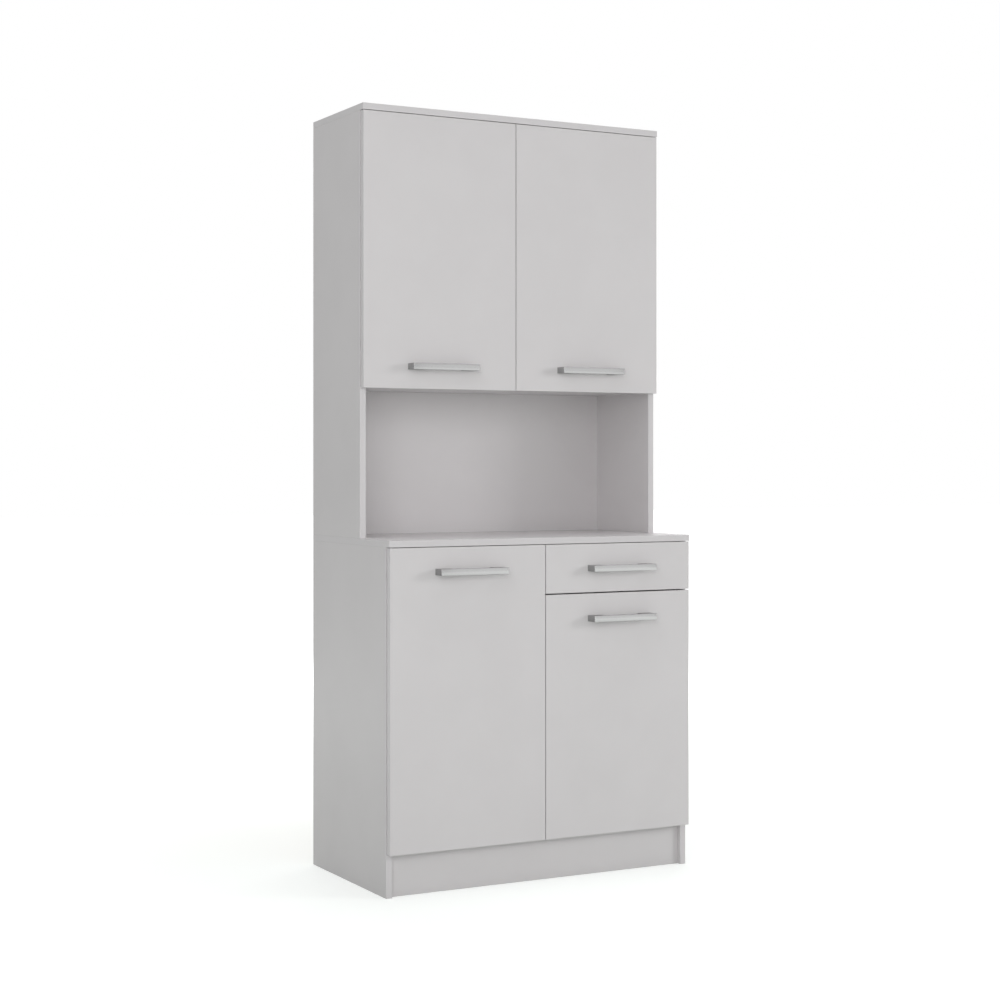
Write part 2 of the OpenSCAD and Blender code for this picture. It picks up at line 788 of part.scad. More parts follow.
// Ball cages ride with the middle member: the outer pair at its rear end and the inner
// pair at its front end, where the members still overlap when the drawer is out
module ball_cages(s) {
    strip = ball_gap - 2 * ball_play;
    outer_xs = [runner_x(s, middle_w0 + ball_play), runner_x(s, outer_w1 - ball_play)];
    inner_xs = [runner_x(s, inner_w0 + ball_play), runner_x(s, middle_w1 - ball_play)];
    color(plastic_colour) for (flip = [LEFT, RIGHT]) {
        outer_z = runner_z + flip * (middle_half + ball_gap / 2) - strip / 2;
        inner_z = runner_z + flip * (inner_half + ball_gap / 2) - strip / 2;
        board(min(outer_xs), max(outer_xs), runner_d0, runner_d0 + cage_len, outer_z, outer_z + strip);
        board(min(inner_xs), max(inner_xs), runner_d1 - cage_len, runner_d1, inner_z, inner_z + strip);
    }
}

module left_runner_outer() {
    runner_outer(LEFT);
}

module right_runner_outer() {
    runner_outer(RIGHT);
}

module left_runner_middle() {
    runner_middle(LEFT);
}

module right_runner_middle() {
    runner_middle(RIGHT);
}

module left_runner_inner() {
    runner_inner(LEFT);
}

module right_runner_inner() {
    runner_inner(RIGHT);
}

module left_ball_cages() {
    ball_cages(LEFT);
}

module right_ball_cages() {
    ball_cages(RIGHT);
}

// ---- Drawer ----

// Screws through the box sides into the box back, over and under the runner
drawer_screw_zs = [(sheet_z1 + runner_z - inner_half) / 2, (box_z1 + runner_z + inner_half) / 2];
back_screw_len = 30;
back_mid_d = box_d0 + box_t / 2;

module at_back_screws(s) {
    x = s == LEFT ? box_x0 : box_x1;
    for (z = drawer_screw_zs) translate([x, y_at(back_mid_d), z]) rotate([0, s * 90, 0]) children();
}

module back_screw_hole() {
    translate([0, 0, -back_screw_len - hole_gap]) cylinder(h = back_screw_len + 2, r = screw_r + hole_gap);
}

// Dowels between the box sides and the front, two a side, glued in
front_dowel_zs = [box_z0 + box_h * 0.4, box_z1 - box_h * 0.2];
front_dowel_r = dowel_r - 1;

module at_front_dowels(s, gap) {
    x = s == LEFT ? box_x0 + box_t / 2 : box_x1 - box_t / 2;
    for (z = front_dowel_zs)
        rod(x, z, lower_face_d - dowel_len + face_depth - gap, lower_face_d + face_depth + gap,
            front_dowel_r + gap);
}

sheet_reach = groove_d - groove_gap;

module bottom_groove() {
    board(box_x0 + box_t - groove_d, box_x1 - box_t + groove_d, box_d0 - 1, lower_face_d + groove_d,
        sheet_z0, sheet_z1);
}

module drawer_side(s) {
    x0 = s == LEFT ? box_x0 : box_x1 - box_t;
    color(board_colour) difference() {
        board(x0, x0 + box_t, box_d0, lower_face_d, box_z0, box_z1);
        bottom_groove();
        at_front_dowels(s, hole_gap);
        at_back_screws(s) back_screw_hole();
        at_inner_screws(s) screw_hole();
    }
}

module drawer_left_side() {
    drawer_side(LEFT);
}

module drawer_right_side() {
    drawer_side(RIGHT);
}

module drawer_back() {
    color(board_colour) difference() {
        board(box_x0 + box_t, box_x1 - box_t, box_d0, box_d0 + box_t, sheet_z1, box_z1);
        for (s = SIDES) at_back_screws(s) back_screw_hole();
    }
}

module drawer_bottom() {
    color(hardboard_colour)
        board(box_x0 + box_t - sheet_reach, box_x1 - box_t + sheet_reach, box_d0,
            lower_face_d + sheet_reach, sheet_z0 + groove_gap, sheet_z1 - groove_gap);
}

module drawer_front() {
    color(board_colour) difference() {
        board(front_x0, front_x1, lower_face_d, lower_front_d, drawer_z0, left_door_z1);
        bottom_groove();
        for (s = SIDES) at_front_dowels(s, hole_gap);
        handle_holes(front_mid_x, lower_face_d, drawer_handle_z);
    }
}

module drawer_fixings() {
    for (s = SIDES) {
        color(steel_colour) at_inner_screws(s) wood_screw();
        color(steel_colour) at_back_screws(s) {
            cylinder(h = screw_head_h / 2, r = screw_head_r - 1);
            translate([0, 0, -back_screw_len]) cylinder(h = back_screw_len + screw_head_h / 4, r = screw_r);
        }
        color(beech_colour) at_front_dowels(s, 0);
    }
}

// ---- Handles ----

module handle_holes(x, face_d, z) {
    r = handle_screw_r + hole_gap;
    for (s = SIDES) rod(x + s * handle_pitch / 2, z, face_d - 1, face_d + front_t + 1, r);
}

// Plan of the handle: a bar on two legs, with a round-cornered finger gap behind it
module handle_plan() {
    gap_w = handle_len - 2 * handle_leg;
    gap_d = handle_out - handle_bar_t;
    difference() {
        translate([-handle_len / 2, -handle_out]) square([handle_len, handle_out]);
        translate([-gap_w / 2, handle_corner_r - gap_d]) square([gap_w, gap_d]);
        translate([handle_corner_r - gap_w / 2, -gap_d]) square([gap_w - 2 * handle_corner_r, gap_d]);
        for (s = SIDES) translate([s * (gap_w / 2 - handle_corner_r), handle_corner_r - gap_d])
            circle(r = handle_corner_r);
    }
}

module handle(x, front_d, z) {
    color(handle_colour) difference() {
        translate([x, y_at(front_d), z - handle_h / 2]) linear_extrude(height = handle_h) handle_plan();
        for (s = SIDES) rod(x + s * handle_pitch / 2, z, front_d - 1, front_d + handle_bite + 1,
            handle_screw_r + hole_gap);
    }
}

module handle_screws(x, face_d, z) {
    color(steel_colour) for (s = SIDES) {
        screw_x = x + s * handle_pitch / 2;
        rod(screw_x, z, face_d - handle_head_h, face_d, handle_head_r);
        rod(screw_x, z, face_d - handle_head_h / 2, face_d + front_t + handle_bite, handle_screw_r);
    }
}

module drawer_handle() {
    handle(front_mid_x, lower_front_d, drawer_handle_z);
}

module drawer_handle_screws() {
    handle_screws(front_mid_x, lower_face_d, drawer_handle_z);
}

// ---- Doors ----

module door(s, face_d, z0, z1, hinges, handle_z) {
    x0 = s == LEFT ? -front_x1 : front_x0;
    color(board_colour) difference() {
        board(x0, x0 + front_x1 - front_x0, face_d, face_d + front_t, z0, z1);
        for (h = hinges) at_hinge(h) translate([cup_u, 1, 0]) rotate([90, 0, 0])
            cylinder(h = 1 + cup_depth + cup_gap, r = cup_r + cup_gap);
        handle_holes(s * front_mid_x, face_d, handle_z);
    }
}

// A pressed cup with its rim, and the folded link that stands beside the arm
module cups(hinges) {
    color(steel_colour) for (h = hinges) at_hinge(h) {
        difference() {
            union() {
                translate([cup_u, 0.5, 0]) rotate([90, 0, 0]) cylinder(h = 0.5 + cup_depth, r = cup_r);
                intersection() {
                    translate([cup_u, rim_t, 0]) rotate([90, 0, 0]) cylinder(h = rim_t, r = rim_half_h);
                    translate([cup_u - rim_half_w - cup_wall, 0, -rim_half_h])
                        cube([2 * (rim_half_w + cup_wall), rim_t, 2 * rim_half_h]);
                }
            }
            translate([cup_u, rim_t + 1, 0]) rotate([90, 0, 0])
                cylinder(h = rim_t + 1 + cup_depth - cup_wall, r = cup_r - cup_wall);
        }
        translate([arm_u1 + link_gap, cup_wall - cup_depth, -link_w / 2])
            cube([link_t, cup_depth - cup_wall + link_out, link_w]);
    }
}

module upper_left_door() {
    door(LEFT, upper_face_d, upper_door_z0, upper_door_z1, upper_left_hinges, upper_handle_z);
}

module upper_right_door() {
    door(RIGHT, upper_face_d, upper_door_z0, upper_door_z1, upper_right_hinges, upper_handle_z);
}

module lower_left_door() {
    door(LEFT, lower_face_d, lower_door_z0, left_door_z1, left_hinges, left_handle_z);
}

module lower_right_door() {
    door(RIGHT, lower_face_d, lower_door_z0, right_door_z1, right_hinges, right_handle_z);
}

module upper_left_cups() {
    cups(upper_left_hinges);
}

module upper_right_cups() {
    cups(upper_right_hinges);
}

module lower_left_cups() {
    cups(left_hinges);
}

module lower_right_cups() {
    cups(right_hinges);
}

module upper_left_handle() {
    handle(-front_mid_x, upper_front_d, upper_handle_z);
}

module upper_right_handle() {
    handle(front_mid_x, upper_front_d, upper_handle_z);
}

module lower_left_handle() {
    handle(-front_mid_x, lower_front_d, left_handle_z);
}

module lower_right_handle() {
    handle(front_mid_x, lower_front_d, right_handle_z);
}

module upper_left_screws() {
    handle_screws(-front_mid_x, upper_face_d, upper_handle_z);
}

module upper_right_screws() {
    handle_screws(front_mid_x, upper_face_d, upper_handle_z);
}

module lower_left_screws() {
    handle_screws(-front_mid_x, lower_face_d, left_handle_z);
}

module lower_right_screws() {
    handle_screws(front_mid_x, lower_face_d, right_handle_z);
}

lower_left_side();
lower_right_side();
lower_divider();
lower_bottom();
kick_board();
worktop();
lower_back();
left_shelf();
right_shelf();
upper_left_side();
upper_right_side();
upper_bottom();
top_panel();
upper_shelf();
upper_back();
niche_back();
shelf_pins();
cam_locks();
cam_bolts();
dowels();
back_nails();
wood_screws();
wall_brackets();
door_bumpers();
hinge_plates();
hinge_arms();
left_runner_outer();
right_runner_outer();
left_runner_middle();
right_runner_middle();
left_ball_cages();
right_ball_cages();
left_runner_inner();
right_runner_inner();
drawer_front();
drawer_left_side();
drawer_right_side();
drawer_back();
drawer_bottom();
drawer_fixings();
drawer_handle();
drawer_handle_screws();
upper_left_door();
upper_left_cups();
upper_left_handle();
upper_left_screws();
upper_right_door();
upper_right_cups();
upper_right_handle();
upper_right_screws();
lower_left_door();
lower_left_cups();
lower_left_handle();
lower_left_screws();
lower_right_door();
lower_right_cups();
lower_right_handle();
lower_right_screws();
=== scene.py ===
import json

import bmesh
import bpy
import numpy as np
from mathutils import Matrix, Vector

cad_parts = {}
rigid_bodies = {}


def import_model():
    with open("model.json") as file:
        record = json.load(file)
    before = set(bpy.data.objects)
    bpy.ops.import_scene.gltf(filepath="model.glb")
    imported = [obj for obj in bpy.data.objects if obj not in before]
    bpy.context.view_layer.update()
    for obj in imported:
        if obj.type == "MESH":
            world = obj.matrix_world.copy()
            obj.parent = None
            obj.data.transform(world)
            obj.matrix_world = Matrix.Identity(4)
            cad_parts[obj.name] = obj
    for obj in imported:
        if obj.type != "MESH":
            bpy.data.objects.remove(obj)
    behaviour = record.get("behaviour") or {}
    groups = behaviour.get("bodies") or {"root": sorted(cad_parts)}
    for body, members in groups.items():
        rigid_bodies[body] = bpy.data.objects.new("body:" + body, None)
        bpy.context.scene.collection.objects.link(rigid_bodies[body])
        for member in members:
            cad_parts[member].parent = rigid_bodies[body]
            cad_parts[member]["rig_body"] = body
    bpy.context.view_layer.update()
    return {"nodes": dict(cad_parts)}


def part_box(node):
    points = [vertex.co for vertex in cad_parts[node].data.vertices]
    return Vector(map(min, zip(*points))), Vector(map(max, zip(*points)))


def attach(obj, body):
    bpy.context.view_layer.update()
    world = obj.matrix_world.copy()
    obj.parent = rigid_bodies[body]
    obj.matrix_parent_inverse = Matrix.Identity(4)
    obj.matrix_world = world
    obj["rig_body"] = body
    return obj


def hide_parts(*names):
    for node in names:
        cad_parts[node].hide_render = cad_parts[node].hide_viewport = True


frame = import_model()

MM = 0.001
MERGE = 0.002 * MM  # points nearer than this are one
X, Y, Z = np.eye(3)


# ---- Shader maths ----


def paint(red, green, blue):
    """A colour as a paint chart gives it, from 0 to 255, in the linear values that a shader reads."""
    part = np.array([red, green, blue]) / 255
    linear = np.where(part <= 0.04045, part / 12.92, ((part + 0.055) / 1.055) ** 2.4)
    return (*linear.tolist(), 1.0)


class Wire:
    """A value in a finish. Arithmetic on it adds Math nodes to the finish that it belongs to."""

    def __init__(self, finish, node, out):
        self.finish, self.node = finish, node
        self.socket = node.outputs[out] if node.outputs else None

    def other(self, out):
        """Another output of the same node."""
        return Wire(self.finish, self.node, out)

    def math(self, operation, *others):
        return self.finish.node("Math", {"operation": operation}, dict(enumerate((self, *others))))

    def __add__(self, other):
        return self.math("ADD", other)

    def __sub__(self, other):
        return self.math("SUBTRACT", other)

    def __rsub__(self, other):
        return self.finish.node("Math", {"operation": "SUBTRACT"}, {0: other, 1: self})

    def __mul__(self, other):
        return self.math("MULTIPLY", other)

    def __abs__(self):
        return self.math("ABSOLUTE")

    def __gt__(self, other):
        return self.math("GREATER_THAN", other)

    __radd__ = __add__
    __rmul__ = __mul__

    def least(self, other):
        return self.math("MINIMUM", other)

    def most(self, other):
        return self.math("MAXIMUM", other)

    def fade(self, low, high):
        """0 at low and 1 at high, with a soft start and end. Low may be the larger of the two."""
        return self.finish.node(
            "MapRange", {"interpolation_type": "SMOOTHSTEP"}, {0: self, 1: low, 2: high, 3: 0.0, 4: 1.0}
        )


class Finish:
    """A material under construction, named for the record's slot that it shows."""

    def __init__(self, name, tree=None):
        self.name, self.material = name, None
        if tree is None:
            self.material = bpy.data.materials.new(name)
            self.material.use_nodes = True
        self.tree = tree or self.material.node_tree
        self.tree.nodes.clear()
        if self.material:
            self.where = self.node("TexCoord", out="Object")

    def node(self, kind, settings=None, sockets=None, out=0):
        """Any node: its type, its settings, which are set first, and the values or links of its sockets."""
        made = self.tree.nodes.new("ShaderNode" + kind)
        for key, value in (settings or {}).items():
            if key == "stops":
                while len(made.color_ramp.elements) < len(value):
                    made.color_ramp.elements.new(1.0)
                for stop, (place, colour) in zip(made.color_ramp.elements, value):
                    stop.position, stop.color = place, colour
            else:
                setattr(made, key, value)
        for key, value in (sockets or {}).items():
            if isinstance(value, Wire):
                self.tree.links.new(value.socket, made.inputs[key])
            else:
                made.inputs[key].default_value = value
        return Wire(self, made, out)

    def field(self, name, out="Fac"):
        """What the piece's mesh keeps for each face under that name."""
        return self.node("Attribute", {"attribute_name": name}, out=out)

    def axes(self, vector):
        """A vector's three values."""
        first = self.node("SeparateXYZ", sockets={0: vector})
        return first, first.other(1), first.other(2)

    def apart(self, first, second):
        """How far the first point lies past the second, along X, Y and Z."""
        return self.axes(self.node("VectorMath", {"operation": "SUBTRACT"}, {0: first, 1: second}))

    def scaled(self, grain):
        """The place on the piece, counted in grains: grain is one grain's size in mm along X, Y and Z."""
        rate = tuple(1 / (MM * size) for size in grain)
        return self.node("VectorMath", {"operation": "MULTIPLY"}, {0: self.where, 1: rate})

    def noise(self, grain, detail=2.0, rough=0.5):
        """Soft random bands from 0 to 1 whose blotches are about a grain in size."""
        grain = grain if isinstance(grain, tuple) else (grain,) * 3
        sockets = {"Vector": self.scaled(grain), "Scale": 1.0, "Detail": detail, "Roughness": rough}
        return self.node("TexNoise", sockets=sockets)

    def flakes(self, grain):
        """One random value from 0 to 1 for each chip of about a grain in size."""
        chips = self.node("TexVoronoi", sockets={"Vector": self.scaled(grain), "Scale": 1.0}, out="Color")
        return self.axes(chips)[0]

    def mix(self, share, first, second):
        """A colour or a vector between two, at share 0 the first and at share 1 the second."""
        return self.node("Mix", {"data_type": "RGBA"}, {0: share, 6: first, 7: second}, out=2)

    def ramp(self, value, *stops):
        """The colour for a value from 0 to 1, between stops that are each a (place, colour)."""
        return self.node("ValToRGB", {"stops": stops}, {0: value})

    def bump(self, height, depth, strength):
        """Relief of that depth in mm where the height goes from 0 to 1."""
        return self.node("Bump", sockets={"Height": height, "Distance": depth * MM, "Strength": strength})

    def surface(self, **sockets):
        """The shader itself, with its sockets' names in words joined by underscores."""
        named = {key.replace("_", " "): value for key, value in sockets.items()}
        shader = self.node("BsdfPrincipled", sockets=named)
        self.node("OutputMaterial", sockets={"Surface": shader})
        return self


# ---- Finishes ----

FACED, BANDED, RAW = 0.0, 1.0, 2.0  # what a board's face is, in its "part"


def board_finish():
    """White melamine on chipboard. The faces have a fine pearl grain, the edges a smoother plastic band
    whose glue line shows 1 mm in from the edge, and cut edges and bores show the chips."""
    finish = Finish("white_board")
    part = finish.field("part")
    unfaced, raw = part > 0.5, part > 1.5
    faced = 1 - unfaced
    x0, y0, z0 = finish.apart(finish.where, finish.field("low", "Vector"))
    x1, y1, z1 = finish.apart(finish.field("high", "Vector"), finish.where)
    rim = x0.least(y0).least(z0).least(x1.least(y1).least(z1))
    glue_line = abs(rim - 1.0 * MM).fade(0.12 * MM, 0.04 * MM) * faced
    cloud = finish.noise(140.0, detail=3.0)
    handling = finish.noise((35.0, 35.0, 60.0), detail=4.0, rough=0.6)
    pearl = finish.noise(0.9, detail=2.0)
    chip = finish.flakes((0.8, 2.6, 1.1))
    face = finish.mix(cloud.fade(0.3, 0.7), paint(213, 210, 211), paint(215, 212, 213))
    face = finish.mix(glue_line * 0.35, face, paint(150, 146, 142))
    band = finish.mix(cloud, paint(211, 208, 210), paint(214, 211, 212))
    chips = finish.ramp(
        chip, (0.0, paint(126, 96, 62)), (0.45, paint(178, 146, 104)), (1.0, paint(212, 188, 150))
    )
    relief = pearl * faced + chip * raw * 25.0
    return finish.surface(
        Base_Color=finish.mix(raw, finish.mix(unfaced, face, band), chips),
        Roughness=0.24 + handling * 0.04 - unfaced * 0.03 + raw * 0.55,
        Normal=finish.bump(relief, 0.005, 0.5),
        IOR=1.46,
    )


def hardboard_finish():
    """Hardboard lacquered white on its good side. Behind it is brown, with matted fibres and the print
    of the wire screen that it was pressed on."""
    finish = Finish("hardboard")
    part = finish.field("part")
    x, y, z = finish.axes(finish.where)
    fibres = finish.noise((7.0, 1.0, 1.6), detail=5.0, rough=0.7)
    felt = finish.noise((1.6, 7.0, 7.0), detail=4.0, rough=0.6)
    wires = 1 / (1.3 * MM)
    warp = (x * wires).math("FRACT")
    weft = ((y + z) * wires).math("FRACT")
    screen = abs(warp - 0.5).fade(0.1, 0.4) * abs(weft - 0.5).fade(0.1, 0.4)
    brown = finish.ramp(
        fibres * 0.6 + felt * 0.4,
        (0.25, paint(96, 66, 42)),
        (0.5, paint(134, 96, 62)),
        (0.8, paint(168, 128, 88)),
    )
    lacquer = finish.mix(finish.noise(120.0), paint(208, 206, 204), paint(213, 211, 209))
    rear = part > 1.5
    return finish.surface(
        Base_Color=finish.mix(rear, lacquer, brown),
        Roughness=0.45 + rear * 0.4,
        Normal=finish.bump(fibres * 0.3 + rear * (screen + fibres), 0.05, 0.6),
    )


def metal_finish(name, colour, grain, rough, stain=None, **more):
    """A metal whose grain follows the longest of its three grain sizes, with a little blotching."""
    finish = Finish(name)
    streak = finish.noise(grain, detail=4.0, rough=0.65)
    blotch = finish.noise(18.0, detail=3.0)
    deep = finish.mix(blotch.fade(0.35, 0.75), paint(*colour), paint(*(stain or colour)))
    darker = paint(*(part * 0.88 for part in colour))
    return finish.surface(
        Base_Color=finish.mix(streak.fade(0.35, 0.8) * 0.35, deep, darker),
        Metallic=1.0,
        Roughness=rough - 0.03 + streak * 0.06 + blotch * 0.03,
        Normal=finish.bump(streak, 0.006, 0.4),
        **more,
    )


def plastic_finish(name, colour, rough, grain=0.5, **more):
    """Moulded plastic: an even colour with a faint flow marking and the mould's fine grain."""
    finish = Finish(name)
    flow = finish.noise((22.0, 9.0, 22.0), detail=2.0)
    shade = finish.mix(flow, paint(*colour), paint(*(part * 0.95 for part in colour)))
    pores = finish.noise(grain, detail=2.0)
    return finish.surface(
        Base_Color=shade, Roughness=rough + flow * 0.08, Normal=finish.bump(pores, 0.01, 0.5), **more
    )


def beech_finish():
    """Beech: fine straight pores and short darker flecks along the grain."""
    finish = Finish("beech")
    grain = finish.noise((2.0, 1.2, 1.2), detail=4.0, rough=0.6)
    fleck = finish.flakes((2.4, 0.7, 0.7)).fade(0.82, 0.95)
    wood = finish.ramp(
        grain, (0.2, paint(178, 138, 94)), (0.55, paint(204, 166, 120)), (0.9, paint(222, 188, 146))
    )
    return finish.surface(
        Base_Color=finish.mix(fleck * 0.5, wood, paint(150, 104, 66)),
        Roughness=0.55 + grain * 0.2,
        Normal=finish.bump(grain, 0.04, 0.5),
    )


WHITE_BOARD = board_finish()
HARDBOARD = hardboard_finish()
HANDLE_METAL = metal_finish(
    "handle_metal", (168, 168, 168), (60.0, 0.25, 0.25), 0.17, Specular_Tint=paint(212, 212, 212)
)
ZINC = metal_finish("zinc", (178, 179, 182), (2.5, 2.5, 2.5), 0.34, stain=(186, 184, 176))
HINGE_STEEL = metal_finish("hinge_steel", (176, 175, 172), (1.4, 6.0, 1.4), 0.26)
RUNNER_STEEL = metal_finish("runner_steel", (166, 168, 171), (0.7, 40.0, 0.7), 0.32, stain=(174, 175, 178))
CAGE_PLASTIC = plastic_finish("cage_plastic", (222, 222, 216), 0.42)
BUMPER = plastic_finish(
    "bumper", (214, 214, 208), 0.3, grain=1.2, Coat_Weight=0.3, Coat_Roughness=0.12
)
BEECH = beech_finish()


# ---- Shapes, in mm: a shape is its points, its faces' corners in one row, and the corners of each face ----


def skin(rings):
    """A closed skin over a stack of rings of equal length: four-sided faces join each ring to the next,
    and one flat face closes each end."""
    rings = np.asarray(rings, float)
    count, around = rings.shape[:2]
    base = np.arange(count - 1)[:, None] * around
    here, there = np.arange(around), np.roll(np.arange(around), -1)
    walls = np.stack([base + here, base + there, base + around + there, base + around + here], -1)
    ends = np.concatenate([here[::-1], (count - 1) * around + here])
    return (
        rings.reshape(-1, 3),
        np.concatenate([walls.ravel(), ends]),
        np.concatenate([np.full(walls.size // 4, 4), [around, around]]),
    )


def joined(*shapes):
    """Several shapes as one."""
    first = np.cumsum([0] + [len(shape[0]) for shape in shapes[:-1]])
    return (
        np.concatenate([shape[0] for shape in shapes]),
        np.concatenate([shape[1] + start for shape, start in zip(shapes, first)]),
        np.concatenate([shape[2] for shape in shapes]),
    )


def placed(shape, at, x=X, y=Y, z=Z):
    """The shape with its own axes turned to point along x, y and z, and its origin put at a point."""
    return shape[0] @ np.array([x, y, z], float) + np.asarray(at, float), shape[1], shape[2]


ARM = np.radians(20.0)  # from the middle of a cross recess's arm to the corner at its end
QUARTER = np.radians([-20.0, 0.0, 20.0, 32.5, 45.0, 57.5])
ANGLES = (QUARTER + np.radians(90.0) * np.arange(4)[:, None]).ravel()


def turned(profile, angles=ANGLES):
    """A turned piece: each (height, radius) of the profile is a ring round Z. A radius may itself
    change with the angle, as a row of one number for each."""
    radius = np.array([np.broadcast_to(r, angles.shape) for _, r in profile])
    height = np.array([np.broadcast_to(h, angles.shape) for h, _ in profile])
    return skin(np.stack([radius * np.cos(angles), radius * np.sin(angles), height], -1))


def cross_shape(length):
    """Radius of a cross with arms that long, by angle: the further of the two bars' edges in that
    direction. An arm's half width is the tangent of ARM times its length."""
    cosine, sine = np.abs(np.cos(ANGLES)), np.abs(np.sin(ANGLES))
    width = length * np.tan(ARM)
    near, far = np.maximum(cosine, sine), np.maximum(np.minimum(cosine, sine), 1e-6)
    return np.maximum(np.minimum(length / near, width / far), width / near)


def thread(start, end, core, ridge, pitch):
    """Rings of a screw thread: the radius rises and falls once a pitch, and the ridge climbs one pitch
    in each turn."""
    heights = np.arange(start, end, pitch / 4)
    turns = heights[:, None] / pitch - ANGLES / (2 * np.pi)
    return list(zip(heights, core + ridge * np.abs(turns % 1.0 - 0.5) * 2))


def screw(head_r, head_h, shaft_r, length, pitch=1.4):
    """A pan-head screw, its head on Z = 0 and its shaft below, with a cross recess in a domed head."""
    recess = head_r * 0.55
    return turned(
        [(-length, shaft_r * 0.25)]
        + thread(-length + 1.2, -0.6, shaft_r * 0.78, shaft_r * 0.22, pitch)
        + [
            (0.0, shaft_r),
            (0.0, head_r),
            (head_h * 0.35, head_r),
            (head_h * 0.72, head_r * 0.93),
            (head_h, head_r * 0.72),
            (head_h, cross_shape(recess)),
            (head_h * 0.25, cross_shape(recess * 0.8)),
        ]
    )


def unit(rows):
    """Each row's direction, with a length of 1."""
    return rows / np.linalg.norm(rows, axis=-1, keepdims=True)


def rounded(corners, steps=6):
    """An outline whose corners, each (x, y, radius), are arcs that touch both of its sides: the arc's
    centre is on the corner's bisector, a radius over the half angle's sine away."""
    corner = np.array(corners, float)
    spot, radius = corner[:, :2], corner[:, 2:]
    back, ahead = unit(np.roll(spot, 1, 0) - spot), unit(np.roll(spot, -1, 0) - spot)
    half = np.arccos(np.clip((back * ahead).sum(-1, keepdims=True), -1, 1)) / 2
    centre = spot + unit(back + ahead) * radius / np.sin(half)
    start = spot + back * radius / np.tan(half) - centre
    end = spot + ahead * radius / np.tan(half) - centre
    turn = (np.pi - 2 * half)[:, None]
    share = np.linspace(0, 1, steps)[None, :, None]
    arc = (np.sin((1 - share) * turn) * start[:, None] + np.sin(share * turn) * end[:, None]) / np.sin(turn)
    return (centre[:, None] + arc).reshape(-1, 2)


def slab(outline, z0, z1, edge, steps=4):
    """A plate of an outline, from z0 to z1. Its two rims are quarter circles of radius edge: at angle t
    the outline is drawn in by edge times 1 - sin t, at edge times 1 - cos t from the face. A corner is
    drawn in along its mitre, which is held short where the corner is pointed."""
    ahead = np.roll(outline, -1, 0) - outline
    side = np.stack([ahead[:, 1], -ahead[:, 0]], -1) / np.linalg.norm(ahead, axis=1)[:, None]
    around = (outline[:, 0] * np.roll(outline[:, 1], -1) - outline[:, 1] * np.roll(outline[:, 0], -1)).sum()
    side *= np.sign(around)
    mitre = side + np.roll(side, 1, 0)
    mitre /= np.maximum((mitre * side).sum(1), 0.3)[:, None]
    angle = np.linspace(0, np.pi / 2, steps)
    drawn, rise = edge * (1 - np.sin(angle)), edge * (1 - np.cos(angle))
    drawn = np.concatenate([drawn, drawn[::-1]])
    height = np.concatenate([z0 + rise, z1 - rise[::-1]])
    flat = outline[None] - drawn[:, None, None] * mitre[None]
    return skin(np.concatenate([flat, np.broadcast_to(height[:, None, None], flat.shape[:2] + (1,))], -1))


def block(x0, x1, y0, y1, radius, z0, z1, edge):
    """A plate with four rounded corners."""
    outline = rounded([(x0, y0, radius), (x1, y0, radius), (x1, y1, radius), (x0, y1, radius)])
    return slab(outline, z0, z1, edge)


# ---- From shapes and CAD nodes to pieces ----


def vectors(items, name):
    """A three-part value of each point or face of a mesh, one in each row."""
    found = np.zeros(len(items) * 3, np.float32)
    items.foreach_get(name, found)
    return found.reshape(-1, 3)


def numbers(items, name, each=1):
    """The whole numbers that a mesh keeps for its edges, faces or corners, in one row: each is how many
    one of them has."""
    found = np.zeros(len(items) * each, np.int32)
    items.foreach_get(name, found)
    return found


def corners_of(node):
    """A CAD node's points in mm, each place once, and the three corners of each of its triangles."""
    mesh = frame["nodes"][node].data
    points = vectors(mesh.vertices, "co") / MM
    merged, index = np.unique(np.round(points, 3), axis=0, return_inverse=True)
    return merged, index.reshape(-1)[numbers(mesh.loops, "vertex_index")].reshape(-1, 3)


def solids(node):
    """The centre, the size and the lean of each solid of a CAD node. Triangles that share a point take
    the lowest number among them until none changes. The lean is where a solid has the most points,
    seen from its centre: a screw's is towards its head."""
    points, faces = corners_of(node)
    label = np.arange(len(points))
    while True:
        lowest = label[faces].min(1)
        fresh = label.copy()
        np.minimum.at(fresh, faces.ravel(), np.repeat(lowest, 3))
        fresh = fresh[fresh]
        if (fresh == label).all():
            break
        label = fresh
    found = []
    for one in np.unique(label[faces]):
        own = points[label == one]
        low, high = own.min(0), own.max(0)
        found.append(((low + high) / 2, high - low, own.mean(0) - (low + high) / 2))
    return found


def box(node):
    """A CAD node's lowest and highest corner, in mm."""
    low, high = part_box(node)
    return np.array(low) / MM, np.array(high) / MM


def adopt(node, mesh, finish):
    """Makes a mesh a piece that stands for a CAD node and rides on its body."""
    mesh.materials.clear()
    mesh.materials.append(finish.material)
    made = bpy.data.objects.new(mesh.name, mesh)
    bpy.context.scene.collection.objects.link(made)
    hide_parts(node)
    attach(made, frame["nodes"][node]["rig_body"])
    return made


